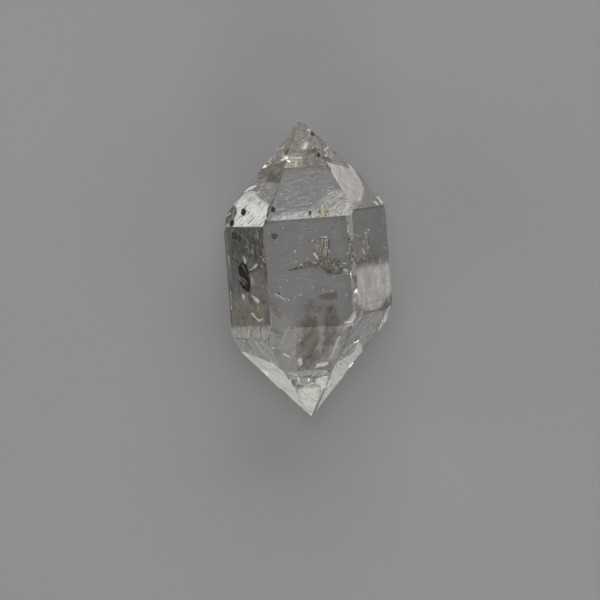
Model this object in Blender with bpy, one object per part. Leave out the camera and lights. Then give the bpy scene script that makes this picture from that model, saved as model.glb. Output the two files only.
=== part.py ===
"""A double-ended quartz crystal, lying on one of its prism faces.

The crystal is one solid. Its long axis runs along Y, its head points to +Y and its foot to -Y.
Six prism faces run along it, and six pyramid faces close each end. The angles between them are
quartz's own. How far each face stands from the middle is this crystal's, which is why the
shoulders at each end step up and down from face to face.

Units are metres, +Z is up, and the origin is below the middle of the crystal, on the ground.
"""

import math
import random

import bmesh
import bpy
from mathutils import Matrix, Vector

MM = 0.001

# Tips, before they were blunted. The Y axis passes through the head's tip.
LENGTH = 28.0 * MM
HEAD_TIP = Vector((0.0, LENGTH / 2, 0.0))
FOOT_TIP = Vector((-1.17 * MM, -LENGTH / 2, -0.15 * MM))
HEAD_TIP_LOSS = 0.14 * MM
FOOT_TIP_LOSS = 0.05 * MM

# Each side's bearing is its angle about Y, from straight up towards +X.
BEARING = {
    "top": 0.0,
    "upper_right": 60.0,
    "lower_right": 120.0,
    "bottom": 180.0,
    "lower_left": 240.0,
    "upper_left": 300.0,
}

# Distance of each prism face from the axis.
PRISM_DISTANCE = {
    "top": 7.08 * MM,
    "upper_right": 6.71 * MM,
    "lower_right": 5.86 * MM,
    "bottom": 5.40 * MM,
    "lower_left": 6.42 * MM,
    "upper_left": 7.40 * MM,
}

# A pyramid face leans this far from the prism face beside it, in every quartz crystal.
PYRAMID_LEAN = math.radians(38.21)

# How far each pyramid face stands outside the tip, so that the six don't meet in one point.
HEAD_OFFSET = {
    "top": 0.0,
    "upper_right": 0.0,
    "lower_right": 0.05 * MM,
    "bottom": 0.10 * MM,
    "lower_left": 0.04 * MM,
    "upper_left": 0.0,
}
FOOT_OFFSET = {
    "top": 0.0,
    "upper_right": 0.05 * MM,
    "lower_right": 0.12 * MM,
    "bottom": 0.06 * MM,
    "lower_left": 0.04 * MM,
    "upper_left": 0.0,
}

# Growth layers keep this far inside the faces that they border, and reach this deep.
LAYER_INSET = 0.02 * MM
LAYER_ROOT = 0.60 * MM
LAYER_WALL_LEAN = math.radians(35.0)
# Each layer differs from the one before by this much, so that no two of their planes coincide.
LAYER_NUDGE = 0.0002 * MM

# Growth bands cross a face from edge to edge: end, side, place along Y of the band's middle line,
# turn in degrees, half width and height. Lengths are in millimetres. Beside its neighbours a band
# makes the fine steps that run across a quartz face.
BANDS = [
    ("prism", "upper_left", 2.35, 0.0, 0.55, 0.035),
    ("prism", "upper_left", -3.90, 0.0, 0.40, 0.030),
    ("prism", "upper_right", 1.20, 0.0, 0.35, 0.030),
    ("prism", "upper_right", -2.60, 0.0, 0.65, 0.035),
    ("prism", "lower_right", 3.90, 0.0, 0.50, 0.045),
    ("prism", "lower_right", 1.30, 0.0, 0.30, 0.030),
    ("prism", "lower_right", -1.90, 0.0, 0.70, 0.050),
    ("prism", "lower_left", 3.10, 0.0, 0.60, 0.045),
    ("prism", "lower_left", -0.40, 0.0, 0.35, 0.030),
    ("prism", "lower_left", -4.20, 0.0, 0.55, 0.045),
    ("head", "top", 7.05, 4.0, 0.50, 0.035),
    ("head", "top", 9.10, -5.0, 0.75, 0.030),
    ("head", "top", 11.30, 3.0, 0.35, 0.035),
    ("head", "upper_left", 8.30, -38.0, 0.55, 0.050),
    ("head", "upper_left", 10.90, -34.0, 0.60, 0.060),
    ("head", "upper_left", 6.40, -40.0, 0.30, 0.035),
    ("head", "upper_right", 9.60, -30.0, 0.50, 0.060),
    ("head", "lower_right", 10.10, 0.0, 0.80, 0.090),
    ("head", "lower_left", 11.20, 0.0, 0.55, 0.080),
    ("head", "bottom", 11.00, 6.0, 0.60, 0.060),
    ("foot", "top", -11.20, 0.0, 0.40, 0.045),
    ("foot", "top", -7.40, 5.0, 0.60, 0.030),
    ("foot", "upper_left", -10.60, 0.0, 0.70, 0.090),
    ("foot", "upper_right", -10.90, -6.0, 0.45, 0.060),
    ("foot", "lower_right", -11.30, 0.0, 0.50, 0.060),
    ("foot", "bottom", -10.40, -6.0, 0.70, 0.060),
    ("foot", "lower_left", -8.20, 0.0, 0.50, 0.045),
]

# Growth hillocks: end, side, height along Y, place across the face, half width, half length,
# turn in degrees, terraces and the height of one terrace. Lengths are in millimetres.
HILLOCKS = [
    ("head", "upper_left", 7.0, -0.6, 2.6, 1.5, 28.0, 4, 0.055),
    ("head", "upper_right", 9.6, 1.6, 1.5, 1.3, -20.0, 3, 0.050),
    ("head", "upper_right", 6.8, -1.0, 1.3, 0.9, 10.0, 2, 0.045),
    ("head", "top", 6.1, 1.1, 2.3, 0.9, 8.0, 3, 0.045),
    ("head", "top", 8.4, -0.8, 1.5, 1.1, -12.0, 2, 0.040),
    ("head", "lower_right", 8.6, -1.4, 1.8, 1.3, 0.0, 3, 0.070),
    ("head", "lower_left", 8.2, 0.4, 2.2, 1.5, 12.0, 3, 0.070),
    ("head", "bottom", 9.0, 0.4, 1.7, 1.3, 15.0, 3, 0.060),
    ("foot", "lower_left", -10.9, 0.9, 1.5, 1.2, 0.0, 3, 0.070),
    ("foot", "upper_left", -8.0, -0.7, 2.0, 1.3, -20.0, 3, 0.050),
    ("foot", "top", -9.2, 0.8, 1.5, 1.3, 10.0, 2, 0.040),
    ("foot", "upper_right", -7.6, -0.4, 2.3, 1.5, 24.0, 3, 0.050),
    ("foot", "lower_right", -8.4, 0.6, 2.2, 1.6, -14.0, 3, 0.060),
    ("foot", "bottom", -8.8, -0.5, 1.7, 1.1, 0.0, 3, 0.055),
    ("prism", "lower_right", -3.6, 0.4, 1.7, 1.0, 0.0, 3, 0.050),
    ("prism", "lower_left", 1.2, -0.9, 1.6, 0.8, 0.0, 3, 0.050),
    ("prism", "lower_left", -2.4, 0.8, 1.8, 0.9, 0.0, 2, 0.050),
    ("prism", "upper_right", -0.6, 0.9, 1.4, 0.7, 0.0, 2, 0.035),
    ("prism", "upper_left", 0.2, -0.8, 1.5, 0.8, 0.0, 2, 0.035),
]
TERRACE_SHRINK = 0.24
TERRACE_DRIFT = 0.20 * MM
OUTLINE_SIDES = 7
OUTLINE_WOBBLE = 0.16
CORNER_WOBBLE = 0.25

# Three-sided etch pits: end, side, height along Y, place across the face, width and depth.
# Lengths are in millimetres.
PITS = [
    ("head", "upper_left", 6.3, -1.9, 0.50, 0.14),
    ("head", "upper_left", 7.6, 1.3, 0.40, 0.12),
    ("head", "upper_right", 7.9, -0.9, 0.40, 0.12),
    ("head", "lower_left", 6.6, -1.6, 0.55, 0.15),
    ("head", "bottom", 9.9, -1.0, 0.50, 0.14),
    ("foot", "upper_left", -7.0, 1.6, 0.40, 0.12),
    ("foot", "lower_right", -9.9, -0.7, 0.50, 0.14),
    ("foot", "bottom", -8.3, 1.7, 0.50, 0.15),
    ("prism", "lower_right", 0.2, -1.6, 0.55, 0.14),
    ("prism", "lower_left", -5.1, -1.2, 0.50, 0.14),
    ("prism", "upper_right", 3.4, -1.1, 0.35, 0.10),
]
PIT_RIM = 0.20 * MM

# Chips knocked off the shoulder corners: end, the two sides that meet there, and the radius and
# depth of the hollow in millimetres.
CHIPS = [
    ("head", "upper_left", "lower_left", 0.90, 0.26),
    ("head", "upper_right", "lower_right", 0.70, 0.16),
    ("head", "bottom", "lower_left", 1.10, 0.30),
    ("foot", "top", "upper_left", 0.60, 0.12),
    ("foot", "upper_right", "lower_right", 0.90, 0.22),
    ("foot", "lower_left", "upper_left", 0.70, 0.16),
    ("foot", "bottom", "lower_right", 1.00, 0.24),
]

QUARTZ_COLOUR = (0.83, 0.84, 0.82, 1.0)
QUARTZ_ROUGHNESS = 0.04
QUARTZ_IOR = 1.544

STOCK_SIDE = 60.0 * MM
SEED = 7


def clear_scene():
    for obj in list(bpy.data.objects):
        bpy.data.objects.remove(obj)


def collection_named(name):
    collection = bpy.data.collections.new(name)
    bpy.context.scene.collection.children.link(collection)
    return collection


def prism_normal(side):
    angle = math.radians(BEARING[side])
    return Vector((math.sin(angle), 0.0, math.cos(angle)))


def pyramid_normal(end, side):
    along = 1.0 if end == "head" else -1.0
    outward = prism_normal(side) * math.cos(PYRAMID_LEAN)
    return outward + Vector((0.0, along * math.sin(PYRAMID_LEAN), 0.0))


def crystal_faces():
    """Every growth face as {(end, side): (outward normal, distance from the origin)}."""
    faces = {("prism", side): (prism_normal(side), PRISM_DISTANCE[side]) for side in BEARING}
    for end, tip, offset in (("head", HEAD_TIP, HEAD_OFFSET), ("foot", FOOT_TIP, FOOT_OFFSET)):
        for side in BEARING:
            normal = pyramid_normal(end, side)
            faces[(end, side)] = (normal, normal.dot(tip) + offset[side])
    return faces


def across_of(side):
    """The level direction along a side's faces, towards the next bearing."""
    angle = math.radians(BEARING[side])
    return Vector((math.cos(angle), 0.0, -math.sin(angle)))


def point_on_face(faces, key, height, across):
    """The point of a face at this height along Y and this far across it."""
    normal, distance = faces[key]
    outward = prism_normal(key[1])
    reach = (distance - normal.y * height) / normal.dot(outward)
    return outward * reach + Vector((0.0, height, 0.0)) + across_of(key[1]) * across


def cut_to_plane(bm, normal, distance):
    """Cuts away what lies beyond a plane, and closes the cut with one flat face."""
    geometry = bm.verts[:] + bm.edges[:] + bm.faces[:]
    cut = bmesh.ops.bisect_plane(
        bm,
        geom=geometry,
        dist=1e-8,
        plane_co=normal * distance,
        plane_no=normal,
        clear_outer=True,
    )
    rim = [item for item in cut["geom_cut"] if isinstance(item, bmesh.types.BMEdge)]
    if rim:
        bmesh.ops.edgeloop_fill(bm, edges=rim)


def convex_object(name, planes, collection):
    """A block of stock cut to the planes, each a pair of a unit normal and a distance."""
    bm = bmesh.new()
    bmesh.ops.create_cube(bm, size=STOCK_SIDE)
    for normal, distance in planes:
        cut_to_plane(bm, normal, distance)
    bmesh.ops.recalc_face_normals(bm, faces=bm.faces[:])
    mesh = bpy.data.meshes.new(name)
    bm.to_mesh(mesh)
    bm.free()
    obj = bpy.data.objects.new(name, mesh)
    collection.objects.link(obj)
    return obj


def as_helper(obj, frame):
    obj.parent = frame
    obj.hide_render = True
    obj.display_type = "WIRE"
    return obj


def add_layer(faces, key, lift, walls, collection, frame):
    """A thin layer on one face: that face lifted, the faces it borders drawn in, and its walls."""
    normal, distance = faces[key]
    number = len(collection.objects)
    nudge = LAYER_NUDGE * number
    planes = [(normal, distance + lift + nudge), (-normal, LAYER_ROOT + nudge - distance)]
    for other, (other_normal, other_distance) in faces.items():
        if other != key:
            planes.append((other_normal, other_distance - LAYER_INSET - nudge))
    as_helper(convex_object(f"layer_{number}", planes + walls, collection), frame)


def wall_plane(normal, outward, point):
    """A layer's wall through a point of the face. It leans back as it rises."""
    leaning = outward * math.cos(LAYER_WALL_LEAN) + normal * math.sin(LAYER_WALL_LEAN)
    return leaning, leaning.dot(point)


def face_axes(faces, key):
    """A face's outward normal, the level direction across it, and the direction up it."""
    normal = faces[key][0]
    across = across_of(key[1])
    return normal, across, normal.cross(across)


def build_bands(faces, collection, frame):
    for end, side, height, turn, half_width, lift in BANDS:
        key = (end, side)
        normal, across, upslope = face_axes(faces, key)
        angle = math.radians(turn)
        over = upslope * math.cos(angle) + across * math.sin(angle)
        centre = point_on_face(faces, key, height * MM, 0.0)
        walls = [
            wall_plane(normal, over, centre + over * half_width * MM),
            wall_plane(normal, -over, centre - over * half_width * MM),
        ]
        add_layer(faces, key, lift * MM, walls, collection, frame)


def hillock_walls(faces, key, centre, half_width, half_length, turn, rng):
    """The walls of one terrace, an irregular oval with straight sides."""
    normal, across, upslope = face_axes(faces, key)
    walls = []
    for i in range(OUTLINE_SIDES):
        shift = rng.uniform(-CORNER_WOBBLE, CORNER_WOBBLE)
        angle = 2 * math.pi * (i + shift) / OUTLINE_SIDES
        size = 1.0 + rng.uniform(-OUTLINE_WOBBLE, OUTLINE_WOBBLE)
        reach = size / math.hypot(math.cos(angle) / half_width, math.sin(angle) / half_length)
        bearing = angle + turn
        outward = across * math.cos(bearing) + upslope * math.sin(bearing)
        walls.append(wall_plane(normal, outward, centre + outward * reach))
    return walls


def build_hillocks(faces, collection, frame, rng):
    for spec in HILLOCKS:
        end, side, height, across, half_width, half_length, turn, terraces, step = spec
        key = (end, side)
        for terrace in range(terraces):
            shrink = 1.0 - TERRACE_SHRINK * terrace
            drift = TERRACE_DRIFT * terrace
            centre = point_on_face(
                faces,
                key,
                height * MM + rng.uniform(-drift, drift),
                across * MM + rng.uniform(-drift, drift),
            )
            walls = hillock_walls(
                faces,
                key,
                centre,
                half_width * shrink * MM,
                half_length * shrink * MM,
                math.radians(turn),
                rng,
            )
            add_layer(faces, key, step * (terrace + 1) * MM, walls, collection, frame)


def build_pits(faces, collection, frame):
    for number, (end, side, height, across, width, depth) in enumerate(PITS):
        key = (end, side)
        bm = bmesh.new()
        bmesh.ops.create_cone(
            bm,
            cap_ends=True,
            segments=3,
            radius1=0.0,
            radius2=width / 2 * MM * (1.0 + PIT_RIM / (depth * MM)),
            depth=depth * MM + PIT_RIM,
        )
        bmesh.ops.translate(bm, verts=bm.verts[:], vec=(0.0, 0.0, (PIT_RIM - depth * MM) / 2))
        mesh = bpy.data.meshes.new(f"pit_{number}")
        bm.to_mesh(mesh)
        bm.free()
        pit = bpy.data.objects.new(f"pit_{number}", mesh)
        collection.objects.link(pit)
        centre = point_on_face(faces, key, height * MM, across * MM)
        normal, sideways, upslope = face_axes(faces, key)
        turned = Matrix((sideways, upslope, normal)).transposed().to_4x4()
        as_helper(pit, frame).matrix_local = Matrix.Translation(centre) @ turned


def shoulder_corner(faces, end, side_a, side_b):
    """The corner where two prism faces meet the nearer of their two pyramid faces."""
    along = 1.0 if end == "head" else -1.0
    corners = []
    for side in (side_a, side_b):
        planes = [faces[("prism", side_a)], faces[("prism", side_b)], faces[(end, side)]]
        normals = Matrix([normal for normal, distance in planes])
        distances = Vector([distance for normal, distance in planes])
        corners.append(normals.inverted() @ distances)
    return min(corners, key=lambda corner: corner.y * along)


def build_chips(faces, collection, frame):
    for number, (end, side_a, side_b, radius, depth) in enumerate(CHIPS):
        bm = bmesh.new()
        bmesh.ops.create_icosphere(bm, subdivisions=3, radius=radius * MM)
        mesh = bpy.data.meshes.new(f"chip_{number}")
        bm.to_mesh(mesh)
        bm.free()
        chip = bpy.data.objects.new(f"chip_{number}", mesh)
        collection.objects.link(chip)
        outward = prism_normal(side_a) + prism_normal(side_b)
        outward += pyramid_normal(end, side_a) + pyramid_normal(end, side_b)
        corner = shoulder_corner(faces, end, side_a, side_b)
        chip.location = corner + outward.normalized() * (radius - depth) * MM
        as_helper(chip, frame)


def quartz_material():
    material = bpy.data.materials.new("quartz")
    material.use_nodes = True
    shader = material.node_tree.nodes["Principled BSDF"]
    shader.inputs["Base Color"].default_value = QUARTZ_COLOUR
    shader.inputs["Roughness"].default_value = QUARTZ_ROUGHNESS
    shader.inputs["Metallic"].default_value = 0.0
    shader.inputs["IOR"].default_value = QUARTZ_IOR
    shader.inputs["Transmission Weight"].default_value = 1.0
    return material


def add_boolean(obj, name, operation, collection):
    modifier = obj.modifiers.new(name, "BOOLEAN")
    modifier.operation = operation
    modifier.operand_type = "COLLECTION"
    modifier.collection = collection
    modifier.solver = "EXACT"


def stand_on_origin(obj, frame):
    """Moves the frame so that the origin is below the middle of the box, on the ground."""
    bpy.context.view_layer.update()
    corners = [Vector(c) for c in obj.evaluated_get(bpy.context.evaluated_depsgraph_get()).bound_box]
    low = Vector([min(c[i] for c in corners) for i in range(3)])
    high = Vector([max(c[i] for c in corners) for i in range(3)])
    middle = (low + high) / 2
    frame.location = (-middle.x, -middle.y, -low.z)
    bpy.context.view_layer.update()


def main():
    clear_scene()
    rng = random.Random(SEED)
    crystal_parts = collection_named("quartz crystal")
    growth = collection_named("growth layers")
    losses = collection_named("pits and chips")

    frame = bpy.data.objects.new("crystal_frame", None)
    crystal_parts.objects.link(frame)

    faces = crystal_faces()
    tips = [
        (Vector((0.0, 1.0, 0.0)), HEAD_TIP.y - HEAD_TIP_LOSS),
        (Vector((0.0, -1.0, 0.0)), -FOOT_TIP.y - FOOT_TIP_LOSS),
    ]
    crystal = convex_object("quartz_crystal", list(faces.values()) + tips, crystal_parts)
    crystal.parent = frame
    crystal.data.materials.append(quartz_material())

    build_bands(faces, growth, frame)
    build_hillocks(faces, growth, frame, rng)
    build_pits(faces, losses, frame)
    build_chips(faces, losses, frame)
    add_boolean(crystal, "growth layers", "UNION", growth)
    add_boolean(crystal, "pits and chips", "DIFFERENCE", losses)
    stand_on_origin(crystal, frame)


main()
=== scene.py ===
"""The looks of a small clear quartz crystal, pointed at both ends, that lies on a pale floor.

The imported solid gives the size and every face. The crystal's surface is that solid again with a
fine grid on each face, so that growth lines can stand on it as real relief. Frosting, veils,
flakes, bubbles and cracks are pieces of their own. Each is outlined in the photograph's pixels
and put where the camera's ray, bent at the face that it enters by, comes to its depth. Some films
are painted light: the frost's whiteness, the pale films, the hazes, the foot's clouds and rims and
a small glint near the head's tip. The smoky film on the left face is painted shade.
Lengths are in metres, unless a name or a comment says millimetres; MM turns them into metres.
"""

import math
import random
from functools import cache

import bmesh
import bpy
import numpy as np
from mathutils import Matrix, Vector, geometry, noise


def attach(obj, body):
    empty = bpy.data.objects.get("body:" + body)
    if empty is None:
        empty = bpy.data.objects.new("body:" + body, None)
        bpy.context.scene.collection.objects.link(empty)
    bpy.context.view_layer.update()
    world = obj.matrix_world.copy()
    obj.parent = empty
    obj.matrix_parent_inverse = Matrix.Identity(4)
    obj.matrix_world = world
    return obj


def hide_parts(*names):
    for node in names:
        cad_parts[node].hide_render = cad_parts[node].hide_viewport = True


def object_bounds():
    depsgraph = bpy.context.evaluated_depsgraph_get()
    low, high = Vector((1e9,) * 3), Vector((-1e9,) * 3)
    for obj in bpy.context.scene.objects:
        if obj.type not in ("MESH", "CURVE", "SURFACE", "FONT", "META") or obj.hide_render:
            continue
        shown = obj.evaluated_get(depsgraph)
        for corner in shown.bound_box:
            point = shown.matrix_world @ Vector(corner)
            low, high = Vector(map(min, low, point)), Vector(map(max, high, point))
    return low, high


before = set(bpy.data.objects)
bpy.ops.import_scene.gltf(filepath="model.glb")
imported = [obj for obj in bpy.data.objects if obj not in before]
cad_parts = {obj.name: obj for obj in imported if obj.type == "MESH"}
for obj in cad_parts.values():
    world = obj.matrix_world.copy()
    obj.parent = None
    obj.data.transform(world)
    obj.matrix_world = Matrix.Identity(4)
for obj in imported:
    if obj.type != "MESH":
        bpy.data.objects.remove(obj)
cad_low, cad_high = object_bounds()

MM = 0.001
SEED = 11

# The crystal's own axis runs along +Y through this point, and its tips are given from it.
AXIS_POINT = Vector((0.36, 0.045, 5.40)) * MM
HEAD_TIP = AXIS_POINT + Vector((0.0, 14.0, 0.0)) * MM
FOOT_TIP = AXIS_POINT + Vector((-1.17, -14.0, -0.15)) * MM
LENGTH = (HEAD_TIP - FOOT_TIP).y
PYRAMID_LEAN = math.radians(38.21)
# How far each part's faces lean towards the head, and the point that they are placed from.
PARTS = {"prism": (0.0, AXIS_POINT), "head": (PYRAMID_LEAN, HEAD_TIP), "foot": (-PYRAMID_LEAN, FOOT_TIP)}
BEARING = {
    "top": 0.0,
    "upper_right": 60.0,
    "lower_right": 120.0,
    "bottom": 180.0,
    "lower_left": 240.0,
    "upper_left": 300.0,
}
UPPER_SIDES = ("top", "upper_left", "upper_right")
TOP, LEFT, RIGHT = [("prism", side) for side in UPPER_SIDES]
HEAD_TOP, HEAD_LEFT, HEAD_RIGHT = [("head", side) for side in UPPER_SIDES]
FOOT_TOP, FOOT_LEFT, FOOT_RIGHT = [("foot", side) for side in UPPER_SIDES]

# The photograph's frame and the crystal in it, in pixels.
IMAGE_SIDE = 600
TIP_TO_TIP_PIXELS = 297.2
AIM_RIGHT_PIXELS = -5.6
AIM_UP_PIXELS = -31.0
CAMERA_DISTANCE = 200.0 * MM
CAMERA_YAW = math.radians(2.7)
CAMERA_PITCH = math.radians(3.6)
CAMERA_ROLL = math.radians(4.4)
CAMERA_CENTRE = AXIS_POINT + Vector((-0.58, 0.0, 0.0)) * MM
CAMERA_REACH = (0.01, 10.0)
# In millimetres, as the camera takes it.
SENSOR_WIDTH = 36.0

# Soft boxes: name, azimuth from +Y towards +X and elevation of the middle, width and height,
# all in degrees as seen from the crystal, radiance, colour.
LIGHT_DISTANCE = 600.0 * MM
SOFT_BOXES = [
    ("head_key", 14.0, 31.0, 56.0, 27.0, 3.0, (1.00, 1.00, 1.02)),
    ("head_left", 325.0, 50.0, 27.0, 27.0, 0.8, (1.03, 1.00, 0.96)),
    ("head_low", 0.0, 12.0, 27.0, 27.0, 1.0, (1.00, 1.00, 1.00)),
    ("overhead", 0.0, 70.0, 27.0, 27.0, 1.5, (1.02, 1.00, 0.96)),
    ("foot_key", 180.0, 25.0, 27.0, 27.0, 3.2, (1.00, 1.00, 0.97)),
    ("foot_left", 240.0, 30.0, 27.0, 27.0, 1.1, (1.00, 1.00, 0.97)),
    ("foot_right", 120.0, 35.0, 27.0, 27.0, 1.2, (1.00, 1.00, 0.97)),
    ("left_rim", 284.0, 14.0, 30.0, 16.0, 3.3, (1.00, 1.00, 0.97)),
    ("right_side", 90.0, 30.0, 27.0, 27.0, 0.5, (1.03, 1.00, 0.97)),
]
# The sky's colour from the horizon up.
SKY = [
    (0.0, (0.255, 0.255, 0.255)),
    (0.35, (0.21, 0.21, 0.207)),
    (0.8, (0.18, 0.172, 0.157)),
    (0.9, (0.30, 0.29, 0.27)),
    (1.0, (0.70, 0.685, 0.65)),
]
FLOOR_ALBEDO = (0.366, 0.370, 0.382)
FLOOR_MOTTLE = (0.97, 1.03)
FLOOR_SIDE = 6.0
FLOOR_GAP = 0.02 * MM

QUARTZ_IOR = 1.544
ABSORPTION_COLOUR = (0.70, 0.69, 0.64)
ABSORPTION_DENSITY = 10.0
MOST_BOUNCES = 40

# The crystal's mesh. Relief fades in over EDGE_FADE from the edge of a face.
WELD_DISTANCE = 0.0002 * MM
FLAT_ANGLE = math.radians(0.15)
SAME_FACE_ANGLE = math.radians(1.0)
SHARP_ANGLE = math.radians(12.0)
CELL = 0.14 * MM
EDGE_FADE = (0.03 * MM, 0.30 * MM)
# In cells: how far apart the rows of a grid are, how far it keeps from its outline, and what counts
# as one point.
ROW_SHARE = math.sqrt(0.75)
GRID_CLEARANCE = 0.5
SAME_POINT = 1e-5

# Growth relief. Patterns hold the waves to a millimetre across and along a face, a seed and a turn.
# A patch fades in between two values of its pattern, and heights are in millimetres.
SWELL = ((0.6, 0.6), 3.0)
SWELL_HEIGHT = 0.0035
PRISM_PATCH = ((0.35, 0.35), 9.0)
PRISM_PATCH_FADE = (-0.1, 0.4)
PRISM_LINES = ((0.25, 4.2), 5.0)
PRISM_LINE_HEIGHT = 0.0014
PRISM_FINE_LINES = ((0.6, 9.0), 6.0)
FINE_LINE_SHARE = 0.5
PYRAMID_PATCH = ((0.45, 0.45), 19.0)
PYRAMID_PATCH_FADE = (-0.2, 0.5)
PYRAMID_LINES = ((0.5, 2.6), 12.0, math.radians(-14.0))
PYRAMID_LINE_HEIGHT = 0.001
PYRAMID_PATCH_HEIGHT = 0.004
ROUGH_LINES = ((0.7, 3.4), 31.0)
ROUGH_GRAINS = ((2.5, 3.5), 33.0)
ROUGH_GRAIN_SHARE = 0.6
ROUGH_EDGE = 0.5

# Films are raised in steps of SKIN_LIFT and end where there is less than LEAST_COVER of them.
SKIN_LIFT = 0.004 * MM
LEAST_COVER = 0.02
# Inclusions: the steps of a rim and how far each is moved, where a stuff starts in shares of its
# soft rim, the least width of a rounded rim, the waves on a lens and their share of its thickness,
# the waves on a grain and the lobes of a ring. Lengths are in millimetres.
RIM_STEP = 0.15
RIM_WOBBLE = 0.02
COVER_START = -0.3
LEAST_ROUNDING = 0.15
LENS_WAVES = (1.6, 1.6)
LENS_UNEVEN = 0.4
GRAIN_WAVES = 1.3
GRAIN_UNEVEN = 0.25
MOST_GRAIN_SEED = 97.0
RING_LOBES = 3
RING_UNEVEN = 0.15
# Tilts, in millimetres of height to a millimetre across and along the face. A crack with the second
# under the top mirrors the head's key light up to the camera.
LEVEL = (0.0, 0.0)
TO_KEY = (0.05, -0.5)

# Sparks and dots: how many, their half sizes, where they lie, how much longer they are than wide,
# and how far from a pyramid's tip they spread as wide as on the prism. All lengths in millimetres.
SPARKS = 120
SPARK_SIZES = (0.025, 0.03, 0.04, 0.06)
SPARK_FACES = (TOP, TOP, TOP, LEFT, RIGHT, HEAD_TOP, FOOT_TOP)
SPARK_ACROSS = (-3.4, 3.4)
SPARK_ALONG = {"prism": (-4.4, 4.4), "head": (4.0, 10.5), "foot": (4.0, 10.5)}
SPARK_DEPTH = (0.6, 4.0)
SPARK_LONGER = (1.0, 2.2)
SPARK_FULL_SPREAD = 12.0

# A stuff's pattern is lines and grains in these shares, spread out to about 0 to 1.
LINE_SHARE = 0.6
NOISE_SPREAD = 3.2
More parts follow.
